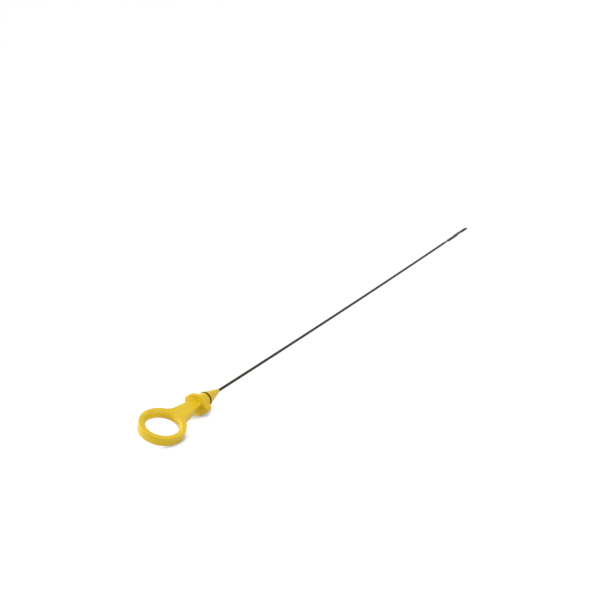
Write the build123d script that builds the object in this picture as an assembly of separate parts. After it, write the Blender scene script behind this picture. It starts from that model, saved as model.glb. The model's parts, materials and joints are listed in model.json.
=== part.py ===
from build123d import *
import math
import os

# Engine oil dipstick: a plastic finger-ring handle moulded over a steel wire, with a rubber seal on its plug.
# It is drawn along +X, from the handle to the gauge tip, with the back of the stop flange at x = 0 and the
# finger ring in the XY plane, and is then laid down as it comes to rest. All sizes are in millimetres.

# Finger ring
ring_outer_radius = 20.1
ring_width = 6.1
ring_thickness = 8.0
ring_back = 44.8
ring_edge_round = 0.5
ring_hole_round = 3.5

# Neck, one plate with the ring, which narrows from it to the stop flange
neck_width = 9.3
neck_base_width = 21.0
neck_flare_radius = 11.5
neck_root_round = 0.6

# Stop flange: a thin round collar and a thicker bar, level at the back, whose ears seat on the tube's mouth
collar_radius = 10.6
collar_thickness = 2.4
collar_edge_round = 0.9
ear_reach = 12.5
ear_height = 8.3
ear_thickness = 6.1
ear_turn = 5.0
ear_corner_round = 3.0
ear_edge_round = 1.2

# Shoulder that meets the rim of the tube, level with the ears, then the plug and the nose that leads it in
shoulder_width = 0.9
plug_radius = 6.5
plug_length = 6.1
nose_land = 0.5
nose_length = 17.2
nose_tip_wall = 0.4

# Rubber seal in its groove
seal_section = 1.8
seal_proud = 0.2
seal_side_gap = 0.1
seal_seat_gap = 0.03

# Steel wire, which bows a little under its own weight between the nose and the gauge tip
wire_diameter = 2.5
wire_reach = 521.0
wire_buried = 33.0
wire_mould_gap = 0.02
wire_bow = 1.1

# Gauge tip, pressed flat from the end of the wire, its pads set over to one side and its waist to the other
tip_thickness = 1.5
tip_pad_width = 4.2
tip_waist_width = 3.8
tip_notch_width = 3.2
tip_neck_width = 1.3
tip_pad_offset = 0.6
tip_waist_offset = 0.3
tip_taper = 5.0
tip_neck_length = 3.0
tip_long_pad = 22.4
tip_waist = 15.0
tip_notch = 2.0
tip_end_pad = 14.0
tip_slope = 2.0
tip_corner_round = 0.6
tip_edge_round = 0.4

# A rounded edge takes at most this share of the wall that it is on
largest_round = 0.45

# Places along the axis that follow from the sizes
ear_front = ear_thickness
groove_start = ear_front + plug_length
groove_end = groove_start + seal_section + 2 * seal_side_gap
nose_start = groove_end + nose_land
nose_end = nose_start + nose_length
wire_start = nose_end - wire_buried
wire_radius = wire_diameter / 2
seal_outer_radius = plug_radius + seal_proud
seal_inner_radius = seal_outer_radius - seal_section
groove_radius = seal_inner_radius - seal_seat_gap

# Bow of the wire: an arc in the upright plane through the axis, from the nose to the taper of the gauge tip
gauge_length = tip_taper + tip_neck_length + tip_long_pad + tip_waist + tip_notch + tip_end_pad
bow_length = wire_reach - gauge_length
bow_turn = 4 * math.atan(2 * wire_bow / bow_length)
bow_radius = bow_length / bow_turn
bow_end_x = nose_end + bow_radius * math.sin(bow_turn)
bow_end_z = bow_radius * (1 - math.cos(bow_turn))

# Rounded edges, as large as their walls let them be
ring_rim_round = min(ring_edge_round, largest_round * min(ring_width, ring_thickness))
hole_rim_round = min(ring_hole_round, largest_round * ring_thickness, ring_width - 2 * ring_rim_round)
collar_rim_round = min(collar_edge_round, largest_round * collar_thickness)
ear_rim_round = min(ear_edge_round, largest_round * ear_thickness)
ear_end_round = min(ear_corner_round, largest_round * ear_height)
tip_rim_round = min(tip_edge_round, largest_round * tip_thickness)

# Rest: the dipstick lies on the collar, the end of the tip and one edge of the finger ring.
# The nose is pitched down until the collar and the tip touch the ground together.
collar_contact_x = collar_thickness - collar_rim_round
collar_contact_radius = collar_radius - collar_rim_round
tip_contact_x = bow_end_x + gauge_length * math.cos(bow_turn) + tip_thickness / 2 * math.sin(bow_turn)
tip_contact_z = bow_end_z + gauge_length * math.sin(bow_turn) - tip_thickness / 2 * math.cos(bow_turn)
pitch_run = tip_contact_x - collar_contact_x
pitch_drop = collar_contact_radius + tip_contact_z
pitch = math.asin(collar_rim_round / math.hypot(pitch_run, pitch_drop)) + math.atan2(pitch_drop, pitch_run)
axis_height = (
    collar_contact_radius * math.cos(pitch)
    + collar_contact_x * math.sin(pitch)
    + collar_rim_round
)
# The whole dipstick is rolled about its axis until the rounded edge of the ring touches the ground too.
ring_contact_radius = ring_outer_radius - ring_rim_round
ring_contact_half = ring_thickness / 2 - ring_rim_round
ring_contact_height = axis_height + ring_back * math.sin(pitch) - ring_rim_round
ring_tilt = math.asin(
    ring_contact_height / math.hypot(ring_contact_radius, ring_contact_half)
) - math.atan2(ring_contact_half, ring_contact_radius)
roll = math.asin(math.sqrt(math.sin(ring_tilt) ** 2 - math.sin(pitch) ** 2) / math.cos(pitch))


def ring_and_neck():
    """Finger ring and neck: one flat plate, eased all round its rims and well rounded at the finger hole."""
    neck_end = collar_thickness / 2
    disc = Pos(-ring_back, 0) * Circle(ring_outer_radius)
    stem = make_face(
        Polyline(
            (neck_end, -neck_width / 2),
            (neck_end, neck_width / 2),
            (-ring_back, neck_base_width / 2),
            (-ring_back, -neck_base_width / 2),
            close=True,
        )
    )
    outline = disc + stem
    flare_corners = outline.vertices().filter_by(lambda v: -ring_back < v.X < 0)
    outline = fillet(flare_corners, neck_flare_radius)
    outline -= Pos(-ring_back, 0) * Circle(ring_outer_radius - ring_width)
    plate = extrude(outline, ring_thickness / 2, both=True)

    def flat_rims(body):
        return body.faces().filter_by(Axis.Z).edges()

    outer_rims = flat_rims(plate).filter_by(Axis.Y, reverse=True).filter_by(lambda e: not e.is_closed)
    plate = fillet(outer_rims, ring_rim_round)
    hole_rims = flat_rims(plate).filter_by(lambda e: e.is_closed)
    return fillet(hole_rims, hole_rim_round)


def stop_flange():
    """Round collar and the bar across it, turned a few degrees about the axis from the plane of the ring."""
    collar = extrude(Plane.YZ * Circle(collar_radius), collar_thickness)
    collar = fillet(collar.edges().filter_by(GeomType.CIRCLE), collar_rim_round)
    bar_outline = Plane.YZ * RectangleRounded(2 * ear_reach, ear_height, ear_end_round)
    bar = extrude(bar_outline, ear_thickness)
    bar_rims = bar.faces().filter_by(Axis.X).edges()
    return collar + Rot(-ear_turn, 0, 0) * fillet(bar_rims, ear_rim_round)


def plug_and_nose():
    """Shoulder, plug, seal groove and conical nose, turned about the axis from the collar forward."""
    shoulder_start = collar_thickness / 2
    shoulder_radius = plug_radius + shoulder_width
    profile = Polyline(
        (shoulder_start, 0),
        (shoulder_start, shoulder_radius),
        (ear_front, shoulder_radius),
        (ear_front, plug_radius),
        (groove_start, plug_radius),
        (groove_start, groove_radius),
        (groove_end, groove_radius),
        (groove_end, plug_radius),
        (nose_start, plug_radius),
        (nose_end, wire_radius + nose_tip_wall),
        (nose_end, 0),
        close=True,
    )
    return revolve(make_face(profile), Axis.X)


def build_handle():
    """The whole moulding, with the bore that the wire fills."""
    body = ring_and_neck() + stop_flange() + plug_and_nose()
    collar_back = body.faces().filter_by(Axis.X).sort_by(Axis.X)[0]
    body = fillet(collar_back.inner_wires().edges(), neck_root_round)
    bore = Cylinder(
        wire_radius + wire_mould_gap,
        wire_buried,
        align=(Align.CENTER, Align.CENTER, Align.MIN),
    )
    return body - Pos(wire_start, 0, 0) * Rot(0, 90, 0) * bore


def build_seal():
    """Rubber ring of round section, stretched into the groove."""
    middle_radius = (seal_outer_radius + seal_inner_radius) / 2
    return Pos((groove_start + groove_end) / 2, 0, 0) * Rot(0, 90, 0) * Torus(middle_radius, seal_section / 2)


def gauge_strip():
    """Flat of the tip, seen from above: a long pad that overlaps the waist, a notch and the end pad."""
    neck = tip_taper
    long_pad = neck + tip_neck_length
    waist = long_pad + tip_long_pad
    notch = waist + tip_waist
    end_pad = notch + tip_notch
    half_neck = tip_neck_width / 2
    pad_near = -tip_pad_width / 2 - tip_pad_offset
    pad_far = tip_pad_width / 2 - tip_pad_offset
    waist_near = tip_waist_offset - tip_waist_width / 2
    waist_far = tip_waist_offset + tip_waist_width / 2
    notch_far = waist_near + tip_notch_width
    end_near = -tip_pad_width / 2 - tip_waist_offset
    end_far = tip_pad_width / 2 - tip_waist_offset
    near_edge = [
        (0, -half_neck),
        (neck, -half_neck),
        (long_pad, pad_near),
        (waist + tip_slope / 2, pad_near),
        (waist + tip_slope * 3 / 2, waist_near),
        (notch, waist_near),
        (end_pad, end_near),
        (gauge_length, end_near),
    ]
    far_edge = [
        (gauge_length, end_far),
        (end_pad, end_far),
        (end_pad - tip_slope / 2, notch_far),
        (notch - tip_slope / 2, waist_far),
        (waist, waist_far),
        (waist - tip_slope, pad_far),
        (long_pad, pad_far),
        (neck, half_neck),
        (0, half_neck),
    ]
    outline = make_face(Polyline(*near_edge, *far_edge, close=True))
    outline = fillet(outline.vertices().filter_by(lambda v: v.X > tip_taper / 2), tip_corner_round)
    strip = extrude(outline, tip_thickness / 2, both=True)
    rims = strip.edges().filter_by(
        lambda e: abs(e.center().Z) > tip_thickness / 2 - tip_rim_round and e.center().X > tip_taper / 4
    )
    return fillet(rims, tip_rim_round)


def gauge_tip():
    """Taper that draws the wire down, and the pressed flat that follows it, from x = 0 forward."""
    taper = Polyline(
        (0, 0),
        (0, wire_radius),
        (tip_taper, tip_neck_width / 2),
        (tip_taper, 0),
        close=True,
    )
    return revolve(make_face(taper), Axis.X) + gauge_strip()


def build_rod():
    """Wire, straight in the moulding and bowed ahead of it, with the gauge tip flat to the ground at rest."""
    section = Plane.YZ * Circle(wire_radius)
    buried = Pos(wire_start, 0, 0) * extrude(section, wire_buried)
    bow_axis = Axis((nose_end, 0, bow_radius), (0, -1, 0))
    bowed = revolve(Pos(nose_end, 0, 0) * section, bow_axis, math.degrees(bow_turn))
    tip = Pos(bow_end_x, 0, bow_end_z) * Rot(0, -math.degrees(bow_turn), 0) * gauge_tip()
    return Rot(-math.degrees(roll), 0, 0) * (buried + bowed + tip)


lay_down = Rot(0, math.degrees(pitch), 0) * Rot(math.degrees(roll), 0, 0)
pieces = {
    "handle": lay_down * build_handle(),
    "seal_ring": lay_down * build_seal(),
    "rod": lay_down * build_rod(),
}

# The origin is on the ground, under the middle of the whole dipstick.
reach = pieces["handle"].bounding_box().add(pieces["rod"].bounding_box())
to_origin = Pos(-reach.center().X, -reach.center().Y, -reach.min.Z)

os.makedirs("parts", exist_ok=True)
for name, solid in pieces.items():
    export_step(to_origin * solid, f"parts/{name}.step")
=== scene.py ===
import json
from math import atan, atan2, cos, pi, radians, sin

import bmesh
import bpy
from mathutils import Matrix, Vector


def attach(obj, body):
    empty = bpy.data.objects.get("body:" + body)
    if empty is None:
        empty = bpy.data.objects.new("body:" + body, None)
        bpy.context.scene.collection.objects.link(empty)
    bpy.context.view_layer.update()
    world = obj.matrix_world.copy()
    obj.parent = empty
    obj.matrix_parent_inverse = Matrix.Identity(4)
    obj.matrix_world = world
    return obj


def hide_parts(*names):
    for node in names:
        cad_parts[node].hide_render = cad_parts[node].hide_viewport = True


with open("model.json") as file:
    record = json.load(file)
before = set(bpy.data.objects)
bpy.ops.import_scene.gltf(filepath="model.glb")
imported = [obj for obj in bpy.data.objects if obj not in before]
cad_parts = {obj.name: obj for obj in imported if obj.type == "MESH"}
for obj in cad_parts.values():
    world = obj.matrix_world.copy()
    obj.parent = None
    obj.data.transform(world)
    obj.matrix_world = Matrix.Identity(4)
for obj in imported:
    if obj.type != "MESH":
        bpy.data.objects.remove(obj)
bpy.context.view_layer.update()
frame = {"record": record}

# Rod: drawn steel wire, 2.5 mm thick and dulled by hot oil. It sags a little between the nose and the tip.
# Its plain end is buried in the handle, and its far end is pressed flat between dies into the gauge tip.
mm = 0.001
wire_radius = 1.25 * mm
wire_sides = 40
wire_buried = 33.0 * mm
bow_length = 459.6 * mm
bow_sag = 1.1 * mm
bow_steps = 48
bow_turn = 4 * atan(2 * bow_sag / bow_length)
bow_radius = bow_length / bow_turn
tip_half_thickness = 0.745 * mm
# Tip sections in mm: place ahead of the plain wire, near edge, far edge, half height before it is pressed.
tip_sections = [
    (3.2, -0.85, 0.85, 0.9),
    (5.0, -0.65, 0.65, 0.75),
    (6.4, -1.4, 0.9, 1.0),
    (8.0, -2.65, 1.45, 1.5),
    (28.4, -2.65, 1.45, 1.5),
    (30.4, -2.65, 2.15, 1.5),
    (31.4, -2.65, 2.15, 1.5),
    (33.4, -1.55, 2.15, 1.5),
    (44.4, -1.55, 2.15, 1.5),
    (46.4, -2.0, 1.55, 1.5),
    (47.4, -2.35, 1.75, 1.5),
    (60.9, -2.35, 1.75, 1.5),
    (61.25, -2.2, 1.6, 1.3),
    (61.38, -1.9, 1.3, 0.8),
]
flats_start = 5.0 * mm
wire_smooth_angle = radians(32)


def take_up(name):
    """Names the primitive just added, puts its place and turn into its mesh and opens it in edit mode."""
    started = bpy.context.active_object
    started.name = name
    bpy.ops.object.transform_apply(location=True, rotation=True, scale=True)
    bpy.ops.object.mode_set(mode="EDIT")
    return started


def choose(piece, wanted):
    """Selects, in edit mode, the points whose place is wanted, with the edges and faces between them."""
    bpy.ops.mesh.select_all(action="DESELECT")
    mesh = bmesh.from_edit_mesh(piece.data)
    for point in mesh.verts:
        if wanted(point.co):
            point.select_set(True)
    mesh.select_flush(True)
    bmesh.update_edit_mesh(piece.data)


def close_up():
    """Merges doubles, turns all faces outwards and leaves edit mode."""
    bpy.ops.mesh.select_all(action="SELECT")
    bpy.ops.mesh.remove_doubles(threshold=0.001 * mm)
    bpy.ops.mesh.normals_make_consistent(inside=False)
    bpy.ops.object.mode_set(mode="OBJECT")


def lay_at(piece, place):
    """Moves a finished piece to its place and applies that to its mesh, so the object stays at the origin."""
    bpy.ops.object.select_all(action="DESELECT")
    piece.select_set(True)
    bpy.context.view_layer.objects.active = piece
    piece.matrix_world = place
    bpy.ops.object.transform_apply(location=True, rotation=True, scale=True)


bpy.ops.object.select_all(action="DESELECT")
bpy.ops.mesh.primitive_circle_add(vertices=wire_sides, radius=wire_radius, rotation=(0, pi / 2, 0))
rod = take_up("dipstick_rod")
bpy.ops.mesh.select_all(action="SELECT")
along, middle, half_width, half_height = 0.0, 0.0, wire_radius, wire_radius
for reach, near, far, height in tip_sections:
    step = (reach * mm - along, (near + far) / 2 * mm - middle, 0)
    along, middle = reach * mm, (near + far) / 2 * mm
    widening = (far - near) / 2 * mm / half_width
    thinning = height * mm / half_height
    bpy.ops.mesh.extrude_edges_move(TRANSFORM_OT_translate={"value": step})
    bpy.ops.transform.resize(value=(1, widening, thinning), center_override=(along, middle, 0))
    half_width, half_height = half_width * widening, half_height * thinning
bpy.ops.mesh.edge_face_add()
for side in (1, -1):
    choose(rod, lambda place: place.x > flats_start and place.z * side > tip_half_thickness)
    bpy.ops.transform.resize(value=(1, 1, 0), center_override=(0, 0, side * tip_half_thickness))
choose(rod, lambda place: abs(place.x) < wire_radius / 10)
bpy.ops.mesh.spin(steps=bow_steps, angle=-bow_turn, center=(0, 0, bow_radius), axis=(0, 1, 0))
buried = (-wire_buried * cos(bow_turn), 0, wire_buried * sin(bow_turn))
bpy.ops.mesh.extrude_edges_move(TRANSFORM_OT_translate={"value": buried})
bpy.ops.mesh.edge_face_add()
close_up()
bpy.ops.object.shade_smooth_by_angle(angle=wire_smooth_angle)

# The plug's mount gives the line that the dipstick lies along, and the back of the flange is where it starts.
plug_middle = 9.15 * mm
nose_end = 31.9 * mm
mounts = {mount["name"]: mount for mount in frame["record"]["mounts"]}
plug_axis = Vector(mounts["plug"]["axis"])
flange_back = Vector(mounts["plug"]["pos_m"]) - plug_axis * plug_middle
pitch = atan2(-plug_axis.z, plug_axis.x)
along_axis = Matrix.Translation(flange_back) @ Matrix.Rotation(pitch, 4, "Y")
bow_end = Vector((nose_end + bow_radius * sin(bow_turn), 0, bow_radius * (1 - cos(bow_turn))))
lay_at(rod, along_axis @ Matrix.Translation(bow_end) @ Matrix.Rotation(-bow_turn, 4, "Y"))

steel_dark = (0.038, 0.036, 0.033, 1)
steel_mid = (0.052, 0.049, 0.045, 1)
steel_pale = (0.070, 0.066, 0.061, 1)
clean = (1.0, 1.0, 1.0, 1)
varnish = (1.0, 0.72, 0.46, 1)
pad_dark_tone = (0.62, 0.60, 0.56, 1)
varnish_ends = -130.0 * mm
tip_end = 308.8 * mm
tip_length = 61.4 * mm
common_noise = (0.3, 0.7)


def new_finish(name):
    """A new node material with its shader and the piece's own coordinates."""
    finish = bpy.data.materials.new(name)
    finish.use_nodes = True
    nodes = finish.node_tree.nodes
    return finish, nodes["Principled BSDF"], nodes.new("ShaderNodeTexCoord").outputs["Object"]


def join_up(finish, source, target):
    """Links one socket to another."""
    finish.node_tree.links.new(source, target)


def clouds(finish, place, grain, stretch=1.0, detail=3.0):
    """Noise with patches of about the given size, stretched along the dipstick."""
    turned = finish.node_tree.nodes.new("ShaderNodeMapping")
    turned.inputs["Scale"].default_value = (1 / (grain * stretch), 1 / grain, 1 / grain)
    noise = finish.node_tree.nodes.new("ShaderNodeTexNoise")
    noise.inputs["Scale"].default_value = 1.0
    noise.inputs["Detail"].default_value = detail
    join_up(finish, place, turned.inputs["Vector"])
    join_up(finish, turned.outputs["Vector"], noise.inputs["Vector"])
    return noise.outputs["Fac"]


def shades(finish, amount, stops):
    """A colour ramp over the amount, from its stops of place and colour."""
    ramp = finish.node_tree.nodes.new("ShaderNodeValToRGB")
    for end, (position, colour) in zip(ramp.color_ramp.elements, (stops[0], stops[-1])):
        end.position = position
        end.color = colour
    for position, colour in stops[1:-1]:
        ramp.color_ramp.elements.new(position).color = colour
    join_up(finish, amount, ramp.inputs["Fac"])
    return ramp.outputs["Color"]


def between(finish, amount, low, high):
    """Spreads the common amounts of noise over the range from low to high."""
    spread = finish.node_tree.nodes.new("ShaderNodeMapRange")
    spread.inputs["From Min"].default_value, spread.inputs["From Max"].default_value = common_noise
    spread.inputs["To Min"].default_value = low
    spread.inputs["To Max"].default_value = high
    join_up(finish, amount, spread.inputs["Value"])
    return spread.outputs["Result"]


def along_rod(finish, place, start, end):
    """Runs from nought to one between two places along the dipstick."""
    parts = finish.node_tree.nodes.new("ShaderNodeSeparateXYZ")
    run = finish.node_tree.nodes.new("ShaderNodeMapRange")
    run.inputs["From Min"].default_value = start
    run.inputs["From Max"].default_value = end
    join_up(finish, place, parts.inputs["Vector"])
    join_up(finish, parts.outputs["X"], run.inputs["Value"])
    return run.outputs["Result"]


def tinted(finish, colour, tint):
    """A colour seen through a tint."""
    both = finish.node_tree.nodes.new("ShaderNodeVectorMath")
    both.operation = "MULTIPLY"
    join_up(finish, colour, both.inputs[0])
    join_up(finish, tint, both.inputs[1])
    return both.outputs["Vector"]


def relief(finish, shader, height, depth, strength):
    """Raises fine bumps of the given depth on the surface."""
    bump = finish.node_tree.nodes.new("ShaderNodeBump")
    bump.inputs["Distance"].default_value = depth
    bump.inputs["Strength"].default_value = strength
    join_up(finish, height, bump.inputs["Height"])
    join_up(finish, bump.outputs["Normal"], shader.inputs["Normal"])


steel, steel_shader, steel_place = new_finish("oiled_steel")
steel_shader.inputs["Metallic"].default_value = 0.4
steel_shader.inputs["Specular IOR Level"].default_value = 0.1
draw_lines = clouds(steel, steel_place, grain=0.25 * mm, stretch=80.0)
steel_colour = shades(steel, draw_lines, [(0.3, steel_dark), (0.5, steel_mid), (0.72, steel_pale)])
# Hot oil leaves a brown varnish next to the handle, and the two pads of the gauge tip are made darker than
# the wire.
from_handle = along_rod(steel, steel_place, flange_back.x + nose_end, varnish_ends)
on_tip = along_rod(steel, steel_place, tip_end - tip_length, tip_end)
steel_colour = tinted(steel, steel_colour, shades(steel, from_handle, [(0.0, varnish), (1.0, clean)]))
# The two pads of the gauge tip are darkened here.
pad_tone_stops = [
    (0.10, clean),
    (0.14, pad_dark_tone),
    (0.50, pad_dark_tone),
    (0.54, clean),
    (0.72, clean),
    (0.77, pad_dark_tone),
]
steel_colour = tinted(steel, steel_colour, shades(steel, on_tip, pad_tone_stops))
join_up(steel, steel_colour, steel_shader.inputs["Base Color"])
wiped = clouds(steel, steel_place, grain=6.0 * mm, stretch=4.0)
join_up(steel, between(steel, wiped, low=0.42, high=0.58), steel_shader.inputs["Roughness"])
relief(steel, steel_shader, draw_lines, depth=0.03 * mm, strength=0.4)
rod.data.materials.append(steel)
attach(rod, "root")
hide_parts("rod")

# Handle: one injection moulding in yellow plastic, shot over the end of the wire. The finger ring and the
# neck are one flat plate. It carries the stop flange with its two ears, the plug with the groove for the seal
# and the nose.
ring_back = 44.8 * mm
hole_radius = 14.02 * mm
plate_half = 4.0 * mm
plate_edge_round = 0.5 * mm
hole_edge_round = 3.5 * mm
# The neck flares into the ring in an arc. The ring's outer edge, 20.05 mm from its middle, meets that arc.
flare_middle = Vector((-19.45, 18.87, 0)) * mm
flare_radius = 11.55 * mm
neck_taper = radians(7.25)
neck_root_round = 0.6 * mm
seam_half = 0.16 * mm
seam_rise = 0.05 * mm
ring_steps = 110
hole_steps = 96
flare_steps = 14
round_steps = 6
hole_round_steps = 12
hair = 0.01 * mm
ring_middle = Vector((-ring_back, 0, 0))


def choose_edges(piece, wanted):
    """Selects, in edit mode, the edges whose two ends are wanted together."""
    bpy.ops.mesh.select_all(action="DESELECT")
    mesh = bmesh.from_edit_mesh(piece.data)
    for edge in mesh.edges:
        if wanted(edge.verts[0].co, edge.verts[1].co):
            edge.select_set(True)
    bmesh.update_edit_mesh(piece.data)


def from_ring_middle(place):
    """How far a point is from the middle of the finger hole, seen from above."""
    return (place.xy - ring_middle.xy).length


def around_hole(place):
    """Whether a point is on the wall of the finger hole or on its rounded rims."""
    return from_ring_middle(place) < hole_radius + hole_edge_round + hair


def is_rim(start, end):
    """Whether an edge runs along the rim of one of the plate's two flat sides."""
    return abs(start.z - end.z) < hair and max(abs(start.y), abs(end.y)) > hair


# The plate's outline runs from the neck's end round the ring and back: a straight side, three arcs and the
# other straight side.
neck_side = Vector((sin(neck_taper), cos(neck_taper), 0))
neck_meets_flare = flare_middle - neck_side * flare_radius
neck_end = -neck_root_round
neck_half = neck_meets_flare.y - (neck_end - neck_meets_flare.x) * neck_side.x / neck_side.y
flare_start = atan2(-neck_side.y, -neck_side.x)
flare_end = atan2(ring_middle.y - flare_middle.y, ring_middle.x - flare_middle.x)
flare_turn = flare_end - flare_start
ring_turn = 2 * pi - 2 * atan2(flare_middle.y - ring_middle.y, flare_middle.x - ring_middle.x)
underside = Vector((0, 0, -plate_half))
bpy.ops.object.select_all(action="DESELECT")
bpy.ops.mesh.primitive_plane_add(size=mm, location=(neck_end, neck_half, -plate_half))
plate = take_up("finger_plate")
bpy.ops.mesh.merge(type="CENTER")
straight = (neck_meets_flare.x - neck_end, neck_meets_flare.y - neck_half, 0)
bpy.ops.mesh.extrude_vertices_move(TRANSFORM_OT_translate={"value": straight})
far_flare = underside + flare_middle
near_flare = underside + flare_middle * Vector((1, -1, 1))
for middle, turn, steps in (
    (far_flare, flare_turn, flare_steps),
    (underside + ring_middle, ring_turn, ring_steps),
    (near_flare, flare_turn, flare_steps),
):
    bpy.ops.mesh.spin(steps=steps, angle=-turn, center=middle, axis=(0, 0, 1))
bpy.ops.mesh.extrude_vertices_move(TRANSFORM_OT_translate={"value": (-straight[0], straight[1], 0)})
choose(plate, lambda place: place.x > neck_end - hair)
bpy.ops.mesh.edge_face_add()
bpy.ops.mesh.subdivide(number_cuts=1)
bpy.ops.mesh.primitive_circle_add(vertices=hole_steps, radius=hole_radius, location=underside + ring_middle)
for side in (1, -1):
    choose(plate, lambda place: abs(place.y) < hair and (place.x - ring_middle.x) * side > 0)
    bpy.ops.mesh.edge_face_add()
for side in (1, -1):
    choose(plate, lambda place: place.y * side > -hair)
    bpy.ops.mesh.edge_face_add()
bpy.ops.mesh.select_all(action="SELECT")
bpy.ops.mesh.extrude_region_move(TRANSFORM_OT_translate={"value": (0, 0, 2 * plate_half)})
bpy.ops.mesh.select_all(action="SELECT")
bpy.ops.mesh.normals_make_consistent(inside=False)
choose_edges(
    plate,
    lambda start, end: is_rim(start, end)
    and min(from_ring_middle(start), from_ring_middle(end)) > hole_radius + hair
    and min(start.x, end.x) < neck_end - hair,
)
bpy.ops.mesh.bevel(offset=plate_edge_round, segments=round_steps, affect="EDGES")
choose_edges(
    plate,
    lambda start, end: is_rim(start, end)
    and max(from_ring_middle(start), from_ring_middle(end)) < hole_radius + hair,
)
bpy.ops.mesh.bevel(offset=hole_edge_round, segments=hole_round_steps, affect="EDGES")
for height in (seam_half, 0, -seam_half):
    choose(plate, lambda place: not around_hole(place))
    bpy.ops.mesh.bisect(plane_co=(0, 0, height), plane_no=(0, 0, 1))
choose(plate, lambda place: abs(place.z) < hair and not around_hole(place))
bpy.ops.transform.shrink_fatten(value=seam_rise)
choose(plate, lambda place: place.x > neck_end - hair)
root_reach, root_rise = 0.0, 0.0
for step in range(1, round_steps + 1):
    root_angle = pi / 2 * step / round_steps
    next_reach = neck_root_round * sin(root_angle)
    next_rise = neck_root_round * (1 - cos(root_angle))
    bpy.ops.mesh.extrude_region_move(TRANSFORM_OT_translate={"value": (next_reach - root_reach, 0, 0)})
    widening = (neck_half + next_rise) / (neck_half + root_rise)
    thickening = (plate_half + next_rise) / (plate_half + root_rise)
    bpy.ops.transform.resize(value=(1, widening, thickening), center_override=(neck_end + next_reach, 0, 0))
    root_reach, root_rise = next_reach, next_rise
bpy.ops.mesh.extrude_region_move(TRANSFORM_OT_translate={"value": (2 * neck_root_round, 0, 0)})
close_up()

flange_radius = 10.6 * mm
flange_thickness = 2.4 * mm
flange_round = 0.9 * mm
turned_sides = 96


def finish_with(piece, kind, **settings):
    """Adds a modifier with its settings to a piece and applies it."""
    bpy.context.view_layer.objects.active = piece
    modifier = piece.modifiers.new(kind.lower(), kind)
    for setting, value in settings.items():
        setattr(modifier, setting, value)
    bpy.ops.object.modifier_apply(modifier=modifier.name)


bpy.ops.object.select_all(action="DESELECT")
bpy.ops.mesh.primitive_cylinder_add(
    vertices=turned_sides, radius=flange_radius, depth=flange_thickness,
    location=(flange_thickness / 2, 0, 0), rotation=(0, pi / 2, 0),
)
flange = take_up("flange")
close_up()
finish_with(flange, "BEVEL", width=flange_round, segments=round_steps, limit_method="ANGLE")

ear_reach = 12.5 * mm
ear_height = 8.3 * mm
ear_back = 0.02 * mm
ear_front = 6.08 * mm
ear_turn = radians(5.0)
ear_corner_round = 3.0 * mm
ear_edge_round = 1.2 * mm
ear_sharp_angle = radians(60)
ear_thickness = ear_front - ear_back
ears_middle = (ear_back + ear_thickness / 2, 0, 0)
bpy.ops.object.select_all(action="DESELECT")
bpy.ops.mesh.primitive_cube_add(size=1, location=ears_middle)
ears = take_up("ears")
bpy.ops.transform.resize(value=(ear_thickness, 2 * ear_reach, ear_height), center_override=ears_middle)
choose_edges(ears, lambda start, end: abs(start.x - end.x) > ear_thickness / 2)
bpy.ops.mesh.bevel(offset=ear_corner_round, segments=round_steps, affect="EDGES")
close_up()
finish_with(
    ears, "BEVEL", width=ear_edge_round, segments=round_steps,
    limit_method="ANGLE", angle_limit=ear_sharp_angle,
)
lay_at(ears, Matrix.Rotation(-ear_turn, 4, "X"))

# Steps of the turned part in mm: place along the dipstick, radius.
plug_steps = [
    (6.1, 7.4),
    (6.1, 6.5),
    (12.2, 6.5),
    (12.2, 4.87),
    (14.2, 4.87),
    (14.2, 6.5),
    (14.7, 6.5),
    (31.9, 1.65),
]
shoulder_start = 1.2 * mm
shoulder_radius = 7.4 * mm
plug_edge_round = 0.2 * mm
plug_round_steps = 3
plug_sharp_angle = radians(10)
bpy.ops.object.select_all(action="DESELECT")
bpy.ops.mesh.primitive_circle_add(
    vertices=turned_sides, radius=shoulder_radius, fill_type="NGON",
    location=(shoulder_start, 0, 0), rotation=(0, pi / 2, 0),
)
plug = take_up("plug")
bpy.ops.mesh.select_all(action="SELECT")
station, radius = shoulder_start, shoulder_radius
for reach, next_radius in plug_steps:
    bpy.ops.mesh.extrude_region_move(TRANSFORM_OT_translate={"value": (reach * mm - station, 0, 0)})
    station = reach * mm
    narrowing = next_radius * mm / radius
    bpy.ops.transform.resize(value=(1, narrowing, narrowing), center_override=(station, 0, 0))
    radius = next_radius * mm
close_up()
finish_with(
    plug, "BEVEL", width=plug_edge_round, segments=plug_round_steps,
    limit_method="ANGLE", angle_limit=plug_sharp_angle,
)

# The wire fills a bore in the moulding, and the mould's ejector pins leave shallow marks under the plate.
bore_radius = 1.27 * mm
cutter_sides = 48
pin_radius = 0.8 * mm
pin_depth = 0.12 * mm
# Places of the pins in mm: along the dipstick, across it.
pin_places = [(-63.3, 0.0), (-44.8, 18.5), (-44.8, -18.5), (-24.0, 0.0), (-9.0, 0.0)]
handle_smooth_angle = radians(28)


def cutter(name, radius, length, middle, turn):
    """A plain round cutter, to be taken out of the moulding."""
    bpy.ops.object.select_all(action="DESELECT")
    bpy.ops.mesh.primitive_cylinder_add(
        vertices=cutter_sides, radius=radius, depth=length, location=middle, rotation=(0, turn, 0)
    )
    tool = take_up(name)
    close_up()
    return tool


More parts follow.
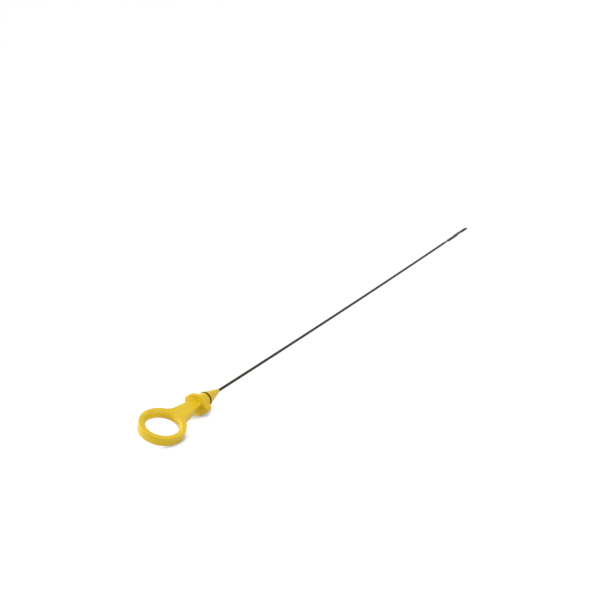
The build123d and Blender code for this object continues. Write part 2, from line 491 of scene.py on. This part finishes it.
bore_middle = (nose_end - wire_buried / 2, 0, 0)
bore = cutter("bore", bore_radius, wire_buried, bore_middle, pi / 2)
pin = cutter("pin", pin_radius, 2 * pin_depth, underside, 0)
cuts = [bore]
for along, across in pin_places:
    bpy.ops.object.select_all(action="DESELECT")
    pin.select_set(True)
    bpy.context.view_layer.objects.active = pin
    bpy.ops.object.duplicate()
    cuts.append(bpy.context.active_object)
    lay_at(cuts[-1], Matrix.Translation(Vector((along, across, 0)) * mm))
bpy.data.objects.remove(pin)
handle = plate
handle.name = "dipstick_handle"
for operation, others in (("UNION", [flange, ears, plug]), ("DIFFERENCE", cuts)):
    for other in others:
        finish_with(handle, "BOOLEAN", object=other, operation=operation, solver="EXACT")
        bpy.data.objects.remove(other)
bpy.ops.object.select_all(action="DESELECT")
handle.select_set(True)
bpy.ops.object.mode_set(mode="EDIT")
close_up()
bpy.ops.object.shade_smooth_by_angle(angle=handle_smooth_angle)
finish_with(handle, "WEIGHTED_NORMAL", keep_sharp=True)

# The stop face sits on the near ear, so it tells how far the whole handle is rolled over on its axis.
stop_face = Vector(mounts["stop_face"]["pos_m"]) - flange_back
stop_face = Matrix.Rotation(-pitch, 3, "Y") @ stop_face
roll = atan2(-stop_face.z, -stop_face.y) + ear_turn
as_it_lies = along_axis @ Matrix.Rotation(roll, 4, "X")
lay_at(handle, as_it_lies)

yellow_deep = (0.79, 0.52, 0.012, 1)
yellow_main = (0.82, 0.56, 0.015, 1)
yellow_pale = (0.85, 0.60, 0.020, 1)
plastic, plastic_shader, plastic_place = new_finish("yellow_plastic")
flow_marks = clouds(plastic, plastic_place, grain=14.0 * mm)
plastic_colour = shades(
    plastic, flow_marks, [(0.3, yellow_deep), (0.5, yellow_main), (0.7, yellow_pale)]
)
join_up(plastic, plastic_colour, plastic_shader.inputs["Base Color"])
handling = clouds(plastic, plastic_place, grain=5.0 * mm)
join_up(plastic, between(plastic, handling, low=0.24, high=0.34), plastic_shader.inputs["Roughness"])
plastic_shader.inputs["Specular IOR Level"].default_value = 0.32
mould_grain = clouds(plastic, plastic_place, grain=0.4 * mm)
relief(plastic, plastic_shader, mould_grain, depth=0.03 * mm, strength=0.15)
handle.data.materials.append(plastic)
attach(handle, "root")
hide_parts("handle")

# Seal ring: a moulded rubber O-ring, rolled over the nose into the groove behind it. It stands a little proud
# of the plug there, with the flash of its mould round the outside.
seal_place = 13.2 * mm
seal_middle_radius = 5.8 * mm
seal_section_radius = 0.9 * mm
seal_sides = 96
seal_section_sides = 24
flash_rise = 0.04 * mm
bpy.ops.object.select_all(action="DESELECT")
bpy.ops.mesh.primitive_torus_add(
    major_radius=seal_middle_radius, minor_radius=seal_section_radius,
    major_segments=seal_sides, minor_segments=seal_section_sides,
    location=(seal_place, 0, 0), rotation=(0, pi / 2, 0),
)
seal = take_up("dipstick_seal")
outermost = seal_middle_radius + seal_section_radius
choose(seal, lambda place: (place.y ** 2 + place.z ** 2) ** 0.5 > outermost - flash_rise / 4)
flash_growth = 1 + flash_rise / outermost
bpy.ops.transform.resize(value=(1, flash_growth, flash_growth), center_override=(seal_place, 0, 0))
close_up()
bpy.ops.object.shade_smooth()
lay_at(seal, as_it_lies)

rubber_dark = (0.080, 0.040, 0.001, 1)
rubber_worn = (0.140, 0.074, 0.002, 1)
rubber, rubber_shader, rubber_place = new_finish("oiled_rubber")
swelling = clouds(rubber, rubber_place, grain=1.5 * mm)
rubber_colour = shades(rubber, swelling, [(0.35, rubber_dark), (0.65, rubber_worn)])
join_up(rubber, rubber_colour, rubber_shader.inputs["Base Color"])
join_up(rubber, between(rubber, swelling, low=0.5, high=0.7), rubber_shader.inputs["Roughness"])
rubber_shader.inputs["Specular IOR Level"].default_value = 0.05
rubber_grain = clouds(rubber, rubber_place, grain=0.15 * mm)
relief(rubber, rubber_shader, rubber_grain, depth=0.02 * mm, strength=0.4)
seal.data.materials.append(rubber)
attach(seal, "root")
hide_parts("seal_ring")

# Floor: a white sheet that the dipstick lies on. It shows as white, with a painted shadow under the handle
# where the handle shuts it in, mixed with a little of its real shadow. The painted shadow fades out along the
# thin wire.
floor_width = 12.0
floor_albedo = (0.72, 0.72, 0.72, 1)
floor_glow = 0.8
sheet_white = 1.13
shadow_dark = 0.5
shadow_reach = 9.0 * mm
deep_shadow = 0.35
no_shadow = 0.64
shadow_fades = -0.215
shadow_gone = -0.165


def background_rays(nodes, links):
    """One where a ray comes from the camera, a reflection or a clear piece, and nought elsewhere."""
    path = nodes.new("ShaderNodeLightPath")
    total = path.outputs["Is Camera Ray"]
    for kind in ("Is Glossy Ray", "Is Transmission Ray"):
        either = nodes.new("ShaderNodeMath")
        either.operation = "MAXIMUM"
        links.new(total, either.inputs[0])
        links.new(path.outputs[kind], either.inputs[1])
        total = either.outputs["Value"]
    return total


bpy.ops.object.select_all(action="DESELECT")
bpy.ops.mesh.primitive_plane_add(size=floor_width)
floor = take_up("floor")
close_up()
paper = bpy.data.materials.new("white_paper")
paper.use_nodes = True
paper_nodes, paper_links = paper.node_tree.nodes, paper.node_tree.links
paper_nodes.clear()
sheet = paper_nodes.new("ShaderNodeBsdfDiffuse")
sheet.inputs["Color"].default_value = floor_albedo
# Painted shadow: the sheet's glow is dimmed where the handle is close by, and less so towards the wire.
nearness = paper_nodes.new("ShaderNodeAmbientOcclusion")
nearness.inputs["Distance"].default_value = shadow_reach
floor_place = paper_nodes.new("ShaderNodeTexCoord")
floor_along = paper_nodes.new("ShaderNodeSeparateXYZ")
depth = paper_nodes.new("ShaderNodeMapRange")
depth.inputs["From Min"].default_value = shadow_fades
depth.inputs["From Max"].default_value = shadow_gone
depth.inputs["To Min"].default_value = shadow_dark
depth.inputs["To Max"].default_value = sheet_white
painted_contact_shadow = paper_nodes.new("ShaderNodeMapRange")
painted_contact_shadow.interpolation_type = "SMOOTHSTEP"
painted_contact_shadow.inputs["From Min"].default_value = deep_shadow
painted_contact_shadow.inputs["From Max"].default_value = no_shadow
painted_contact_shadow.inputs["To Max"].default_value = sheet_white
glow = paper_nodes.new("ShaderNodeEmission")
share = paper_nodes.new("ShaderNodeMath")
share.operation = "MULTIPLY"
share.inputs[1].default_value = floor_glow
shown = paper_nodes.new("ShaderNodeMixShader")
surface = paper_nodes.new("ShaderNodeOutputMaterial")
paper_links.new(floor_place.outputs["Object"], floor_along.inputs["Vector"])
paper_links.new(floor_along.outputs["X"], depth.inputs["Value"])
paper_links.new(depth.outputs["Result"], painted_contact_shadow.inputs["To Min"])
paper_links.new(nearness.outputs["AO"], painted_contact_shadow.inputs["Value"])
paper_links.new(painted_contact_shadow.outputs["Result"], glow.inputs["Strength"])
paper_links.new(background_rays(paper_nodes, paper_links), share.inputs[0])
paper_links.new(share.outputs["Value"], shown.inputs["Fac"])
paper_links.new(sheet.outputs["BSDF"], shown.inputs[1])
paper_links.new(glow.outputs["Emission"], shown.inputs[2])
paper_links.new(shown.outputs["Shader"], surface.inputs["Surface"])
floor.data.materials.append(paper)

# Light: a white tent, lit from outside by wide lamps above it and on both sides and by a smaller one behind
# the finger ring.
tent_light = 0.35
tent_white = 1.0
world = bpy.data.worlds.new("white_tent")
bpy.context.scene.world = world
world.use_nodes = True
tent_nodes, tent_links = world.node_tree.nodes, world.node_tree.links
tent_nodes.clear()
tent = tent_nodes.new("ShaderNodeBackground")
tent.inputs["Strength"].default_value = tent_light
backdrop = tent_nodes.new("ShaderNodeBackground")
backdrop.inputs["Strength"].default_value = tent_white
for light in (tent, backdrop):
    light.inputs["Color"].default_value = (1, 1, 1, 1)
seen = tent_nodes.new("ShaderNodeMixShader")
sky = tent_nodes.new("ShaderNodeOutputWorld")
tent_links.new(background_rays(tent_nodes, tent_links), seen.inputs["Fac"])
tent_links.new(tent.outputs["Background"], seen.inputs[1])
tent_links.new(backdrop.outputs["Background"], seen.inputs[2])
tent_links.new(seen.outputs["Shader"], sky.inputs["Surface"])

# Name, direction to the lamp, its spread in degrees and its strength.
lamps = [
    ("far_lamp", (0.0, 0.8, 0.6), 50, 1.85),
    ("near_lamp", (0.0, -0.8, 0.6), 50, 0.9),
    ("back_lamp", (-0.70, 0.52, 0.48), 8, 0.8),
    ("top_lamp", (0.0, 0.0, 1.0), 60, 0.45),
]
for lamp_name, way, spread, strength in lamps:
    lamp_light = bpy.data.lights.new(lamp_name, "SUN")
    lamp_light.angle = radians(spread)
    lamp_light.energy = strength
    lamp = bpy.data.objects.new(lamp_name, lamp_light)
    bpy.context.scene.collection.objects.link(lamp)
    lamp.rotation_euler = (-Vector(way)).to_track_quat("-Z", "Y").to_euler()

# Camera: behind the handle and to its right, looking down along the rod, and tipped a little to one side. Its
# place and turn come from a fit to the outline of the handle and to the line of the wire in the photo.
camera_lens = bpy.data.cameras.new("camera")
camera_lens.lens = 62.335
camera_lens.sensor_width = 36.0
camera = bpy.data.objects.new("camera", camera_lens)
bpy.context.scene.collection.objects.link(camera)
camera.location = (-0.84946, -0.56532, 0.36453)
camera.rotation_euler = (radians(71.3177), radians(8.4751), radians(-56.9223))
bpy.context.scene.camera = camera
bpy.context.scene.view_settings.view_transform = "Standard"
